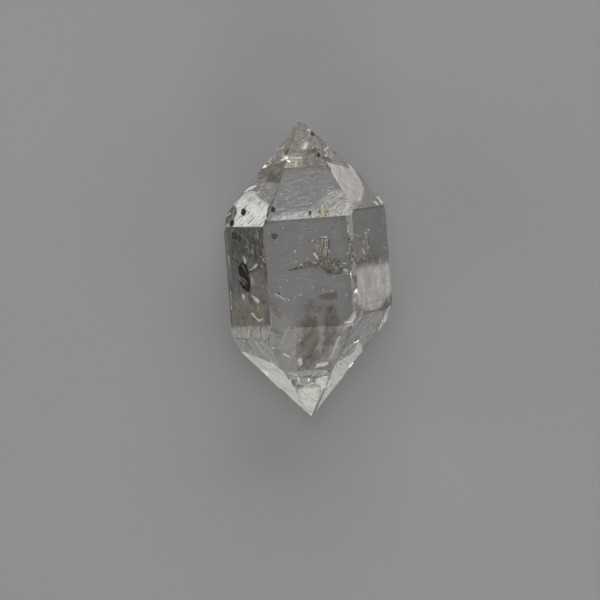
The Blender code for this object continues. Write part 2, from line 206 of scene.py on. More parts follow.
# What films and inclusions are made of. The tones run from the pattern's low to its high end, evenly
# unless at says where. lines is how long and how far apart the lines are in millimetres, turn their
# angle on the face in degrees, grain how many grains go to a millimetre, gain how much of the stuff
# there is and contrast how uneven that is.
STUFFS = {
    # Frost on the head's upper-left face: real frosted texture, and its whiteness is painted light.
    "white_frost_and_painted_light": dict(
        tones=[(0.10, 0.10, 0.08), (0.42, 0.40, 0.37), (0.93, 0.91, 0.88), (0.99, 0.98, 0.97)],
        at=(0.0, 0.22, 0.42, 1.0), lines=(1.0, 0.30), turn=-62, gain=1.0, contrast=0.30, grain=2.6),
    # Frost lines on the same face: texture, and their pale tone is painted light too.
    "lined_frost_and_painted_light": dict(tones=[(0.22, 0.21, 0.18), (0.62, 0.60, 0.56), (0.95, 0.93, 0.90)],
                        lines=(1.3, 0.12), turn=-24, gain=0.34, contrast=0.95),
    # A frosted band low on the head's top face: texture, and its whiteness is painted light.
    "band_frost_and_painted_light": dict(tones=[(0.35, 0.35, 0.35), (0.72, 0.72, 0.71), (0.97, 0.96, 0.94)],
                       lines=(0.7, 0.12), turn=-28, gain=0.42, contrast=0.95),
    # Pale films on the head's upper-right face and the right face: painted reflection of bright light.
    "pale_painted_reflection": dict(tones=[(0.60, 0.56, 0.54), (0.94, 0.90, 0.87)],
                      lines=(1.4, 2.0), turn=0, gain=0.72, contrast=0.30),
    "tan_film": dict(tones=[(0.15, 0.128, 0.105), (0.28, 0.248, 0.21), (0.44, 0.40, 0.35)],
                     lines=(0.8, 0.45), turn=-20, gain=0.56, contrast=0.25, grain=4.0, roughness=0.4),
    # A smoky dark film: painted shade over the left face and the frost's lower corner.
    "smoky_painted_shade_film": dict(
        tones=[(0.005, 0.005, 0.004), (0.060, 0.055, 0.048), (0.48, 0.45, 0.41)],
        lines=(1.1, 0.55), turn=80, gain=0.62, contrast=1.1, grain=2.0, roughness=0.5, specular=0.1),
    # A faint pale film: painted light that brightens what is seen through the faces.
    "fine_painted_light_haze": dict(tones=[(0.50, 0.50, 0.49), (0.97, 0.97, 0.96)],
                      lines=(1.2, 0.13), turn=0, gain=0.09, contrast=0.20, grain=5.0, roughness=0.4),
    # White marks on the faces; the small triangle near the head's tip is a painted glint.
    "white_flecks_and_glints": dict(tones=[(0.60, 0.57, 0.52), (1.0, 0.98, 0.95)],
                         lines=(0.3, 0.2), turn=20, gain=1.0, contrast=0.3, grain=7.0),
    "black_flecks": dict(tones=[(0.004, 0.004, 0.004), (0.05, 0.048, 0.04)],
                         lines=(0.4, 0.2), turn=30, gain=1.0, contrast=0.2, grain=8.0, specular=0.1),
    "gold_flecks": dict(tones=[(0.10, 0.08, 0.045), (0.42, 0.37, 0.27), (0.88, 0.84, 0.72)],
                        lines=(0.5, 0.15), turn=85, gain=0.75, contrast=0.5, grain=5.0),
    "brown_shade": dict(tones=[(0.05, 0.040, 0.030), (0.14, 0.12, 0.095)],
                        lines=(0.5, 0.3), turn=15, gain=0.75, contrast=0.5, grain=4.0),
    # A pale cloud on the foot: painted light that brightens what is seen through it.
    "foot_painted_light_cloud": dict(tones=[(0.60, 0.60, 0.57), (0.97, 0.97, 0.94)],
                       lines=(1.4, 0.5), turn=75, gain=0.22, contrast=0.25, grain=3.0, roughness=0.4),
    # The foot's bright rims: a painted reflection, white streaks with darker lines between them.
    "foot_painted_reflection": dict(
        tones=[(0.28, 0.28, 0.24), (0.94, 0.94, 0.89), (0.99, 0.99, 0.97)], at=(0.0, 0.32, 1.0),
        lines=(1.6, 0.10), turn=-38, gain=0.90, contrast=1.1),
    "taupe_blades": dict(
        tones=[(0.07, 0.055, 0.035), (0.42, 0.36, 0.26), (0.84, 0.78, 0.64), (0.98, 0.95, 0.86)],
        at=(0.0, 0.4, 0.75, 1.0), lines=(0.9, 0.14), turn=84, gain=1.0, contrast=0.3, grain=5.0,
        roughness=0.3),
    "umber_mass": dict(
        tones=[(0.010, 0.010, 0.007), (0.09, 0.08, 0.055), (0.36, 0.32, 0.23), (0.85, 0.80, 0.66)],
        at=(0.0, 0.35, 0.65, 1.0), lines=(0.5, 0.17), turn=78, gain=1.0, contrast=0.4, roughness=0.35),
    "bitumen": dict(
        tones=[(0.003, 0.003, 0.003), (0.045, 0.043, 0.033)],
        lines=(0.4, 0.2), turn=30, gain=1.1, contrast=0.15, grain=8.0, roughness=0.4, specular=0.1),
    "silver_cracks": dict(
        tones=[(0.78, 0.76, 0.70), (1.0, 0.99, 0.95), (1.0, 1.0, 0.98)], at=(0.0, 0.6, 1.0),
        lines=(0.3, 0.2), turn=20, gain=1.1, contrast=0.2, grain=7.0, roughness=0.35, metallic=0.8,
        specular=0.5),
    "grey_film": dict(tones=[(0.06, 0.063, 0.053), (0.28, 0.28, 0.24)],
                      lines=(0.6, 0.3), turn=40, gain=0.75, contrast=0.3, grain=5.0, roughness=0.3),
    "golden_stain": dict(tones=[(0.09, 0.070, 0.035), (0.34, 0.29, 0.18), (0.85, 0.80, 0.64)],
                         lines=(0.7, 0.14), turn=-50, gain=0.60, contrast=0.7, grain=4.0, roughness=0.35),
    "rusty_veil": dict(tones=[(0.085, 0.030, 0.014), (0.26, 0.145, 0.088)],
                       lines=(1.0, 0.4), turn=75, gain=0.80, contrast=0.7, grain=2.2, roughness=0.5),
    "taupe_veil": dict(tones=[(0.07, 0.055, 0.040), (0.26, 0.22, 0.17)],
                       lines=(0.6, 0.3), turn=60, gain=0.36, contrast=0.8, grain=3.0, roughness=0.5),
    "white_healing": dict(
        tones=[(0.75, 0.73, 0.68), (1.0, 0.99, 0.96)],
        lines=(0.3, 0.2), turn=20, gain=1.1, contrast=0.2, grain=7.0, roughness=0.3, specular=0.5),
}

# Outlines that are used more than once, in pixels. An outline may pass the edge of its face.
FROST_OUTLINE = [(235, 204), (244, 194), (254, 191), (259, 198), (264, 201), (269, 204), (267, 213),
                 (262, 230), (220, 230), (232, 221), (237, 213)]
BAND_OUTLINE = [(283, 214), (300, 213), (316, 207), (322, 199), (330, 191), (344, 189), (356, 214),
                (356, 222), (282, 224)]
TIP_OUTLINE = [(300, 112), (330, 140), (345, 166), (321, 157), (328, 168), (306, 169), (284, 170),
               (272, 178), (250, 188), (240, 180), (270, 140)]
TIP_CREAM_OUTLINE = [(289, 138), (295, 126), (294, 136), (288, 150), (280, 158)]
HEAD_GOLD_OUTLINE = [(352.4, 203.6), (357, 200.8), (362.4, 204), (360, 208.8), (354, 208.6)]
HEAD_CRACK_OUTLINE = [(373, 201.4), (375.2, 201), (378.6, 205), (376.8, 205.4)]

# Where the relief is rougher: the outline, the height in millimetres and the lines' turn in degrees.
ROUGH_PATCHES = {HEAD_LEFT: (FROST_OUTLINE, 0.010, 62.0), HEAD_TOP: (BAND_OUTLINE, 0.006, 28.0)}

# Films on the faces. A row holds the face, how soft the edges are in millimetres, how much of the
# stuff there is, how many steps it is raised, and the outlines of its patches.
# Frost on the head's upper-left face: real frosted texture, and its whiteness is painted light.
FROST_AND_PAINTED_LIGHT = [
    (HEAD_LEFT, 0.12, 1.0, 1, [FROST_OUTLINE]),
    (HEAD_LEFT, 0.06, 1.0, 3, [
        [(233, 206), (236, 201), (241, 193), (248, 188), (256, 185), (256, 187), (249, 190), (243, 194),
         (238, 201), (235, 206)]]),
]
# Lines in that frost: texture, and their pale tone is painted light too.
FROST_LINES_AND_PAINTED_LIGHT = [
    (HEAD_LEFT, 0.35, 1.0, 2, [
        [(240, 196), (246, 183), (257, 177), (270, 182), (280, 184), (274, 206), (255, 205)]]),
]
# A frosted band low on the head's top face: texture, and its whiteness is painted light.
HEAD_BAND_AND_PAINTED_LIGHT = [
    (HEAD_TOP, 0.30, 0.8, 1, [BAND_OUTLINE]),
    (HEAD_TOP, 0.22, 1.0, 2, [
        [(272, 217), (290, 212), (312, 210), (330, 206), (350, 204), (356, 222), (270, 224)]]),
]
# Pale films on the head's upper-right face and the right face: painted reflection of bright light.
PALE_PAINTED_REFLECTIONS = [
    (HEAD_RIGHT, 0.05, 1.05, 1, [
        [(320, 155), (333, 161), (345, 163), (354, 170), (361, 181), (364, 190), (360, 204), (352, 212),
         (343, 200)]]),
    (HEAD_RIGHT, 0.6, 0.35, 2, [
        [(326, 150), (350, 160), (374, 182), (392, 200), (392, 216), (350, 222), (338, 190)]]),
    (RIGHT, 0.45, 0.95, 2, [[(354, 270), (370, 265), (392, 262), (392, 292), (376, 312), (352, 306)]]),
]
TAN_FILMS = [(face, 0.4, 1.0, 1, [TIP_OUTLINE]) for face in (HEAD_LEFT, HEAD_TOP, HEAD_RIGHT)]
# A smoky dark film: painted shade over the left face and the frost's lower corner.
SMOKY_PAINTED_SHADE = [
    (LEFT, 0.16, 0.55, 1, [[(232, 222), (268, 222), (268, 262), (265, 330), (234, 330), (233, 270)]]),
    (LEFT, 0.35, 0.75, 2, [[(232, 222), (265, 222), (262, 255), (250, 262), (232, 262)]]),
    (LEFT, 0.10, 0.35, 1, [[(222, 222), (234, 222), (236, 330), (226, 330)]]),
    (HEAD_LEFT, 0.15, 0.55, 4, [[(222, 228), (226, 212), (234, 204), (238, 210), (236, 218), (230, 228)]]),
]
# A faint pale film over the prism's top and right faces and the head's top: painted light that brightens
# what is seen through them.
PAINTED_LIGHT_HAZES = [
    (TOP, 0.3, 0.9, 1, [[(240, 205), (370, 205), (370, 350), (240, 350)]]),
    (RIGHT, 0.3, 1.2, 1, [[(350, 200), (392, 198), (392, 262), (352, 266)]]),
    (HEAD_TOP, 0.4, 1.8, 3, [[(270, 172), (330, 168), (360, 225), (255, 235)]]),
]
# White marks on the faces; the small triangle near the head's tip is a painted glint.
WHITE_MARKS_AND_GLINTS = [
    (HEAD_TOP, 0.10, 0.85, 6, [
        # A painted glint.
        [(301, 148.8), (303.6, 146.4), (304.4, 143.8), (306.6, 141.6), (308.6, 144.8), (306.4, 147.4),
         (307.2, 149), (303, 149.8)],
        [(289.6, 157.6), (302, 157.2), (301.8, 158.8), (290, 159)],
        [(294.8, 161.2), (296.6, 161.2), (296.6, 167.4), (294.8, 167.4)]]),
    (LEFT, 0.06, 0.75, 6, [
        [(248.8, 270.2), (252.6, 267.8), (254.9, 264.6), (257.6, 263.6), (258, 265.6), (255.4, 267.6),
         (250.8, 270.4)],
        [(242.4, 293.3), (244.3, 294.2), (245.1, 298.3), (243.8, 300.2), (242.2, 296.7)],
        [(242.8, 256), (244.4, 256.4), (246.4, 260.6), (246.4, 264), (244.8, 263)],
        [(250.6, 312.6), (253.6, 313), (257.4, 318), (260, 319.4), (262.6, 317.6), (263.6, 319.4),
         (259.6, 322.2), (255.2, 318)],
        [(251.6, 295), (254.6, 296.6), (258.6, 299), (260.4, 302.4), (257.6, 303.4), (254.6, 300)]]),
    (LEFT, 0.15, 0.35, 6, [[(250, 275.6), (253.6, 277.6), (254.6, 284), (251, 285)]]),
    (HEAD_RIGHT, 0.06, 0.9, 6, [
        [(355.6, 198.4), (358, 197), (361.2, 200), (359, 201.4), (357.4, 199.8)],
        [(376, 196.2), (378.4, 196.6), (383.2, 203.4), (381.4, 204.6)],
        HEAD_CRACK_OUTLINE]),
    (FOOT_TOP, 0.06, 0.9, 6, [
        [(297.6, 358), (301.6, 357.6), (302.6, 363.6), (299.8, 366.6), (298, 362.4)],
        [(315.6, 364), (321, 361.8), (328.6, 361), (327.6, 364.2), (321, 366), (316, 366.4)],
        [(338.4, 336), (339.8, 336.4), (335.4, 347), (331.6, 358), (330.4, 357.6), (334, 346.4)],
        [(283, 352), (290, 355.6), (289.4, 357.6), (283.4, 354.4)]]),
]
BLACK_MARKS = [
    (HEAD_LEFT, 0.05, 1.0, 7, [
        [(242.8, 209.8), (245.6, 209.4), (246.8, 211.8), (245.4, 215.2), (242.2, 215.6), (241.4, 213)],
        [(230, 224), (232, 219.6), (234.8, 221), (233.6, 225.6), (230.8, 227.4)]]),
    (HEAD_RIGHT, 0.05, 1.0, 7, [[(310.4, 131.8), (313.2, 132.6), (314, 135.6), (311.2, 135)]]),
    (HEAD_TOP, 0.05, 1.0, 7, [
        [(308.6, 211.8), (310.4, 211.4), (311.2, 214.2), (309.4, 215.2)],
        [(317, 153.4), (319.2, 153), (320.4, 156.4), (318.4, 157)],
        [(270.6, 208.4), (272.6, 207.2), (274.8, 208.2), (275.2, 210.6), (273.6, 212.2), (271, 211.4)]]),
    (LEFT, 0.06, 0.8, 5, [
        [(238.8, 267), (240.6, 263.2), (244.4, 262), (246.8, 264.6), (248, 268.3), (248.4, 272.5),
         (250, 277.6), (247, 279.4), (243.6, 278.4), (240.6, 276), (239, 271.7)],
        [(246.8, 276), (250, 277), (251.2, 282), (250.6, 288), (249.2, 292.2), (246.6, 291.4),
         (243.2, 288.6), (240.6, 284.8), (239.6, 281.4), (241.8, 281.4), (244.6, 286), (247, 286.8),
         (247.6, 282.4)]]),
]
GOLD_MARKS = [
    (HEAD_TOP, 0.08, 1.0, 6, [
        [(318.2, 205.6), (323, 207.4), (328.8, 205.6), (329, 214.6), (323.6, 216.8), (318.6, 214.6)]]),
    (LEFT, 0.4, 0.40, 4, [[(233, 296), (264, 292), (266, 328), (234, 328)]]),
    (LEFT, 0.4, 0.28, 4, [[(251, 272), (268, 260), (268, 300), (251, 300)]]),
    (HEAD_RIGHT, 0.25, 0.6, 5, [HEAD_GOLD_OUTLINE]),
    (HEAD_TOP, 0.25, 0.35, 4, [
        [(287.6, 152.6), (303.4, 151.2), (303.6, 168), (288.6, 168.6)],
        [(304.4, 135.4), (307, 131.4), (309, 134.6), (306.4, 136.6)],
        TIP_CREAM_OUTLINE]),
    (HEAD_LEFT, 0.25, 0.45, 4, [TIP_CREAM_OUTLINE]),
]
BROWN_SHADES = [
    (HEAD_TOP, 0.25, 0.22, 5, [
        [(290, 142), (297, 139.6), (299.6, 146), (297, 151.4), (290, 150.6)],
        [(304, 152), (314, 149.6), (320, 157), (320, 167), (306, 168)]]),
]
# Pale clouds on the foot and the left face's foot end: painted light that brightens what is seen through
# them.
FOOT_PAINTED_LIGHT = [
    (FOOT_TOP, 0.3, 1.0, 1, [[(250, 325), (350, 325), (338, 362), (318, 398), (300, 398), (285, 375)]]),
    (FOOT_LEFT, 0.3, 1.6, 1, [[(226, 330), (268, 332), (292, 385), (270, 372), (236, 352)]]),
    (LEFT, 0.12, 1.9, 3, [[(220, 327), (275, 325), (280, 350), (225, 345)]]),
    (FOOT_RIGHT, 0.3, 1.4, 1, [[(336, 364), (348, 330), (358, 306), (384, 312), (374, 336), (360, 350)]]),
]
# The foot's bright rims: a painted reflection, white streaks with darker lines between them.
FOOT_RIM_REFLECTIONS = [
    (FOOT_LEFT, 0.15, 1.0, 2, [
        [(238, 350), (258, 356), (274, 363), (283, 371), (291, 379), (293, 386), (299, 394), (312, 420),
         (296, 408), (280, 392), (262, 376)]]),
    (FOOT_RIGHT, 0.2, 1.0, 2, [
        [(358, 340), (352, 351), (338, 361), (331, 369), (330, 378), (320, 402), (311, 420), (345, 392),
         (366, 356)]]),
    (FOOT_TOP, 0.12, 1.0, 2, [[(317, 378), (329, 375), (326, 385), (322, 391), (316, 384)]]),
    (FOOT_TOP, 0.2, 0.9, 2, [[(297, 389), (318, 386), (320, 396), (314, 414), (310, 418), (302, 404)]]),
]

# Lenses inside the crystal. A row holds the face that it is seen through, how deep it is below it,
# its thickness, its tilt, how soft its rim is, the cells of its mesh, and its outline. Lengths are
# in millimetres. Grains are rows of a face, a depth, a pixel, how many pixels wide the grain is and,
# where it isn't round, how much longer than wide and its turn in degrees.
# The winged inclusion, the first four, lies low and also shows through the faces beside the top.
BLADES = [
    (TOP, 10.38, 0.10, (0.2, 0.1), 0.08, 0.06, [
        (320.4, 239.3), (322.9, 238.6), (326.4, 238.9), (329.3, 238.6), (329.3, 242.1), (328.6, 247.9),
        (327.5, 253.6), (326.8, 257.4), (323.6, 257.4), (322.1, 252.1), (321.8, 246.4), (320.7, 242.9)]),
    (TOP, 10.78, 0.08, (-0.3, 0.2), 0.08, 0.06, [
        (313.6, 244.8), (318.6, 243.6), (320.4, 245.7), (322.1, 248.6), (322.9, 256.7), (320, 256.7),
        (317.1, 252.1), (314.3, 248.6)]),
    (TOP, 11.08, 0.08, (-0.3, 0.0), 0.08, 0.06, [
        (312.5, 247.1), (314.3, 248.6), (317.1, 252.9), (320, 256.7), (318.6, 258.1), (315.7, 254.3),
        (313.2, 250)]),
    (TOP, 11.48, 0.10, (0.0, 0.4), 0.08, 0.06, [
        (303.3, 267.6), (307.1, 264.8), (311.4, 263.4), (314.6, 265), (312.4, 267), (307.1, 268.2)]),
    (TOP, 11.28, 0.12, (0.3, 0.3), 0.08, 0.06, [
        (312.9, 258.6), (315.7, 257.1), (318.9, 259.3), (317.9, 262.6), (315, 264.6), (313.6, 262.1)]),
]
MASS = [
    (TOP, 11.08, 0.35, (0.1, 0.5), 0.10, 0.06, [
        (318.9, 260.7), (322.9, 257.9), (328.6, 257.1), (334.3, 258.2), (339.3, 261.4), (342.9, 263.9),
        (344.3, 267.9), (343.6, 272.1), (340.7, 274), (336, 273.2), (333, 274.6), (328.6, 273.6),
        (325, 270.7), (320, 267.9), (317.4, 265)]),
    (TOP, 11.48, 0.18, (0.0, 0.6), 0.05, 0.05, [
        (286.8, 270.4), (291.4, 269.3), (296.4, 267.1), (301.4, 265.4), (305, 263.6), (310.7, 262.1),
        (314.3, 262.9), (317.9, 265), (317.1, 267.5), (311.4, 267.1), (306.4, 268.4), (301.4, 268.8),
        (295.7, 270.1), (290.7, 271.2)]),
]
DARK_EDGES = [
    (TOP, 10.28, 0.10, (0.0, 0.1), 0.04, 0.045, [
        (329.3, 238.6), (330, 241.4), (329.2, 248.6), (328, 256.6), (326.6, 256.6), (327.6, 249.3),
        (328.2, 242.9), (328.3, 239.3)]),
    (TOP, 11.28, 0.15, (0.0, 0.5), 0.10, 0.06, [
        (325.7, 271.2), (330, 268.6), (335.7, 269.6), (341.4, 271), (342.9, 273.6), (338.6, 274.6),
        (333, 274.4), (328, 274)]),
    (TOP, 10.88, 0.08, (0.0, 0.2), 0.05, 0.045, [
        (332.9, 258.6), (335, 258.6), (339, 260.6), (341.6, 263.6), (340, 263.4), (335.4, 260.4)]),
    (TOP, 11.38, 0.16, (0.0, 0.6), 0.04, 0.045, [
        (286.8, 270.4), (291.4, 269.3), (297, 267.4), (299.6, 268.6), (295.7, 270.1), (290.7, 271.2)]),
    (TOP, 11.38, 0.10, (0.0, 0.5), 0.04, 0.045, [
        (302, 266), (306, 263.6), (311.4, 262), (315.6, 262.9), (315, 264), (310.8, 263.2),
        (306.4, 264.9), (303, 267.2)]),
]
DARK_EDGE_GRAINS = [
    (TOP, 10.78, (320.4, 256.8), 2.2),
    (TOP, 10.58, (308.8, 240.6), 1.6),
    (TOP, 10.58, (314.6, 240.9), 1.6),
]
GLINTS = [
    (TOP, 10.08, 0.15, TO_KEY, 0.04, 0.045, [
        (320.7, 238.2), (321.1, 236.1), (324.3, 236.4), (326.8, 235.6), (327.5, 237.5), (325.7, 238.2),
        (322.9, 237.7)]),
    (TOP, 10.08, 0.10, TO_KEY, 0.03, 0.04, [(326.2, 238.9), (328, 239.1), (327.5, 241.3), (326.4, 240.6)]),
    (TOP, 10.78, 0.12, TO_KEY, 0.04, 0.045, [
        (312.3, 252.3), (314.1, 252.1), (317.3, 255.7), (319.1, 258.6), (317.1, 259.5), (314.3, 256.4)]),
    (TOP, 10.68, 0.15, TO_KEY, 0.04, 0.045, [
        (299.4, 265.2), (301.1, 263.4), (303.1, 264.3), (301.4, 266.3)]),
    (TOP, 10.88, 0.12, TO_KEY, 0.04, 0.04, [
        (313.7, 262.3), (315.2, 261.9), (315.9, 264.5), (314.2, 264.5)]),
    (TOP, 11.48, 0.12, TO_KEY, 0.04, 0.045, [
        (341.4, 263.1), (344.3, 262.3), (347.9, 263.9), (346.4, 264.8), (342.9, 264.3)]),
    (TOP, 11.48, 0.12, TO_KEY, 0.03, 0.04, [
        (341.3, 266.2), (343.6, 265.2), (344.5, 266.9), (342.1, 267.2)]),
    (TOP, 11.48, 0.15, TO_KEY, 0.04, 0.045, [
        (342.1, 267.9), (346.4, 268.7), (348.8, 270.4), (346.4, 272.3), (343.2, 271.6)]),
    (TOP, 11.48, 0.12, (0.2, 0.6), 0.10, 0.045, [
        (344.3, 272.9), (349.3, 272.9), (348.6, 275.4), (345, 274.6)]),
]
GLINT_GRAINS = [
    (TOP, 9.58, (312.4, 240.5), 2.0),
    (TOP, 9.98, (294.6, 251.6), 2.2, 1.4, 20.0),
    (TOP, 10.28, (328.9, 251), 1.6, 2.2),
]
BLACK_FLAKES = [
    (LEFT, 1.2, 0.3, LEVEL, 0.06, 0.07, [
        (239.1, 266.7), (241.2, 263.8), (244.1, 262.9), (246.2, 265), (247, 268.3), (247.4, 272.5),
        (249.1, 276.7), (247.8, 278.4), (244.5, 278), (241.6, 275.8), (239.5, 271.7)]),
    (LEFT, 1.3, 0.15, LEVEL, 0.04, 0.05, [
        (247, 276), (249.1, 276.7), (250.8, 280), (250.3, 285.3), (249.4, 291.2), (247.8, 291.9),
        (244.5, 289.6), (241.6, 287.2), (239.6, 282.4), (241.2, 281.4), (243.4, 286.2), (246.6, 287.6),
        (247.4, 283.4), (245.6, 278.6)]),
]
# The dark rim of a large bubble: face, depth, pixel, radius, and half the rim's width and height.
BUBBLE_RIMS = [(TOP, 10.63, (274.5, 236.3), 0.18, 0.12, 0.12)]
BLACK_GRAINS = [
    (TOP, 6.8, (279.4, 293.4), 2.6),
    (TOP, 6.8, (286.4, 300.4), 1.6),
    (HEAD_TOP, 0.3, (314, 190.6), 1.3),
    (HEAD_TOP, 0.3, (317.6, 190.2), 1.2),
    (HEAD_TOP, 0.3, (321, 191.2), 1.5),
    (HEAD_TOP, 0.3, (296.8, 209.6), 1.8),
    (HEAD_LEFT, 0.3, (255.4, 213.4), 1.3),
    (HEAD_LEFT, 0.3, (268.4, 186.8), 1.5, 0.6),
    (HEAD_RIGHT, 0.3, (373, 191.6), 2.0, 1.8, 30.0),
    (RIGHT, 1.0, (374.8, 224.4), 1.5),
    (TOP, 1.0, (336, 222.6), 1.1),
    (TOP, 1.0, (327.4, 223), 1.1),
]
GREY_HOLLOWS = [
    (LEFT, 1.35, 0.08, LEVEL, 0.08, 0.07, [
        (241.6, 279.2), (245.3, 280), (248, 284.6), (247.6, 288), (244.4, 286.6), (242, 283.4)]),
    (LEFT, 0.8, 0.08, LEVEL, 0.2, 0.07, [
        (231.4, 232), (238.6, 232.6), (241, 237.4), (237.2, 240.6), (231.6, 239)]),
    (HEAD_RIGHT, 0.5, 0.08, LEVEL, 0.15, 0.05, [(345.6, 180.6), (350, 180), (353.2, 183), (350, 184.4)]),
    (HEAD_RIGHT, 0.5, 0.08, LEVEL, 0.12, 0.05, [
        (355.4, 180.6), (357.6, 180.4), (359.4, 183), (357, 183.4)]),
]
GOLDEN_FANS = [
    (TOP, 7.58, 0.12, (-0.3, 0.2), 0.2, 0.07, [
        (271.2, 304.6), (275.3, 303.8), (279.5, 308.3), (282.4, 313.6), (280.3, 320.6), (275.3, 316.2),
        (272, 310.8)]),
    (TOP, 8.38, 0.08, (0.3, 0.0), 0.15, 0.07, [
        (273.6, 308), (278.6, 309.6), (284, 312), (279, 314), (274.6, 312.4)]),
    (LEFT, 1.6, 0.1, LEVEL, 0.3, 0.07, [
        (246, 309.6), (252, 308.4), (258, 313.4), (262.4, 318.6), (260.6, 322.4), (254, 319.6),
        (248, 316)]),
    (HEAD_LEFT, 0.4, 0.06, LEVEL, 0.5, 0.09, [(262, 168), (276, 166), (282, 172), (276, 182), (268, 184)]),
    (HEAD_RIGHT, 0.4, 0.08, LEVEL, 0.2, 0.07, HEAD_GOLD_OUTLINE),
]
RUSTY_VEILS = [
    (TOP, 5.0, 0.08, LEVEL, 0.40, 0.07, [
        (317, 295.4), (326, 292.6), (338.6, 291), (338, 299), (329, 301.4), (320, 299.4)]),
    (FOOT_TOP, 2.6, 0.1, LEVEL, 0.60, 0.1, [
        (301, 329), (307, 321), (318, 325), (321, 337), (320, 350), (317, 365), (309, 370), (300, 366),
        (294, 354), (297, 339)]),
    (FOOT_TOP, 2.6, 0.1, LEVEL, 0.55, 0.1, [
        (323, 328), (326, 316), (333, 310), (339, 318), (341, 330), (337, 344), (327, 353), (316, 365),
        (317, 352), (320, 346), (321, 337)]),
]
TAUPE_VEILS = [
    (TOP, 5.0, 0.08, LEVEL, 0.5, 0.1, [
        (302, 304), (309, 299), (319, 301), (326, 306), (318, 314), (304, 318)]),
]
SILVER_STREAKS = [
    (TOP, 6.98, 0.12, TO_KEY, 0.04, 0.045, [
        (276.2, 294), (279.5, 295), (283.9, 298.3), (287.4, 301.7), (285.3, 301.9), (280.3, 298.1)]),
    (TOP, 6.98, 0.10, TO_KEY, 0.05, 0.045, [
        (283.7, 297), (287.8, 298.6), (291.4, 300.2), (288.7, 300.8), (285.3, 299)]),
    (TOP, 7.18, 0.06, TO_KEY, 0.05, 0.045, [(272.8, 293.6), (276.4, 294.2), (279.6, 296), (276, 296)]),
    (TOP, 2.5, 0.06, (0.4, 0.0), 0.05, 0.04, [
        (269.9, 311.7), (271.1, 311.7), (272.5, 326.9), (270.9, 327.7)]),
    (TOP, 1.5, 0.12, TO_KEY, 0.05, 0.05, [
        (343, 320.8), (347, 320), (350.4, 316), (353.6, 310.9), (356.8, 310.5), (356, 316.4),
        (352.4, 322.6), (344.8, 324.2)]),
]
WHITE_CRACKS = [
    (HEAD_RIGHT, 0.35, 0.06, (0.0, 0.3), 0.05, 0.045, [
        (376, 196.6), (378.2, 196.8), (383, 203.6), (381.6, 204.4)]),
    (HEAD_RIGHT, 0.35, 0.06, (0.0, 0.3), 0.05, 0.045, HEAD_CRACK_OUTLINE),
    (HEAD_RIGHT, 0.5, 0.08, (0.0, 0.3), 0.05, 0.045, [
        (356, 197.4), (358.6, 197), (361, 200.4), (358.6, 200.6)]),
]
WHITE_GRAINS = [
    (FOOT_TOP, 0.9, (279.4, 334.6), 2.6, 0.7),
    (FOOT_TOP, 0.9, (288.6, 330.4), 1.5),
    (FOOT_TOP, 0.9, (295, 330.2), 1.2),
    (FOOT_TOP, 0.9, (300, 330.6), 1.5),
    (FOOT_TOP, 0.6, (289, 357), 2.0, 2.0, 40.0),
    (FOOT_TOP, 0.4, (310, 391.4), 3.0, 0.5, 20.0),
    (RIGHT, 1.0, (355.6, 235), 2.0),
    (RIGHT, 1.0, (373.2, 237.2), 1.5, 2.2),
    (RIGHT, 1.0, (382.4, 266.8), 3.2, 0.8),
    (TOP, 0.4, (276, 242), 1.0),
    (TOP, 2.0, (300.4, 294.6), 1.6),
    (TOP, 2.4, (323, 289.6), 1.5),
    (TOP, 2.4, (312.6, 287.2), 1.5),
    (LEFT, 1.0, (232, 239.2), 1.8),
    (LEFT, 1.0, (239.4, 238.4), 1.4),
    (HEAD_TOP, 0.4, (294, 183), 1.2),
    (HEAD_TOP, 0.3, (296.6, 192.6), 1.4),
    (HEAD_LEFT, 0.3, (256.6, 204.6), 1.8),
]
# Round bubbles: face, depth, pixel, radius in millimetres.
BUBBLES = [
    (HEAD_TOP, 0.6, (310.4, 214.2), 0.10),
    (HEAD_TOP, 1.2, (281, 199), 0.06),
    (TOP, 3.0, (300, 239), 0.08),
]

# The pieces on the faces: name, stuff, films.
FILMS = [
    ("frost_and_painted_light", "white_frost_and_painted_light", FROST_AND_PAINTED_LIGHT),
    ("frost_lines_and_painted_light", "lined_frost_and_painted_light", FROST_LINES_AND_PAINTED_LIGHT),
    ("head_band_and_painted_light", "band_frost_and_painted_light", HEAD_BAND_AND_PAINTED_LIGHT),
    ("pale_painted_reflections", "pale_painted_reflection", PALE_PAINTED_REFLECTIONS),
    ("tan_films", "tan_film", TAN_FILMS),
    ("smoky_painted_shade", "smoky_painted_shade_film", SMOKY_PAINTED_SHADE),
    ("painted_light_hazes", "fine_painted_light_haze", PAINTED_LIGHT_HAZES),
    ("white_marks_and_glints", "white_flecks_and_glints", WHITE_MARKS_AND_GLINTS),
    ("black_marks", "black_flecks", BLACK_MARKS),
    ("gold_marks", "gold_flecks", GOLD_MARKS),
    ("brown_shades", "brown_shade", BROWN_SHADES),
    ("foot_painted_light", "foot_painted_light_cloud", FOOT_PAINTED_LIGHT),
    ("foot_rim_reflections", "foot_painted_reflection", FOOT_RIM_REFLECTIONS),
]
# The pieces inside: name, stuff, lenses, rings, grains.
INCLUSIONS = [
    ("blades", "taupe_blades", BLADES, [], []),
    ("mass", "umber_mass", MASS, [], []),
    ("dark_edges", "bitumen", DARK_EDGES, [], DARK_EDGE_GRAINS),
    ("glints", "silver_cracks", GLINTS, [], GLINT_GRAINS),
    ("black_flakes", "bitumen", BLACK_FLAKES, BUBBLE_RIMS, BLACK_GRAINS),
    ("grey_hollows", "grey_film", GREY_HOLLOWS, [], []),
    ("golden_fans", "golden_stain", GOLDEN_FANS, [], []),
    ("rusty_veils", "rusty_veil", RUSTY_VEILS, [], []),
    ("taupe_veils", "taupe_veil", TAUPE_VEILS, [], []),
    ("silver_streaks", "silver_cracks", SILVER_STREAKS, [], []),
    ("white_cracks", "white_healing", WHITE_CRACKS, [], WHITE_GRAINS),
]


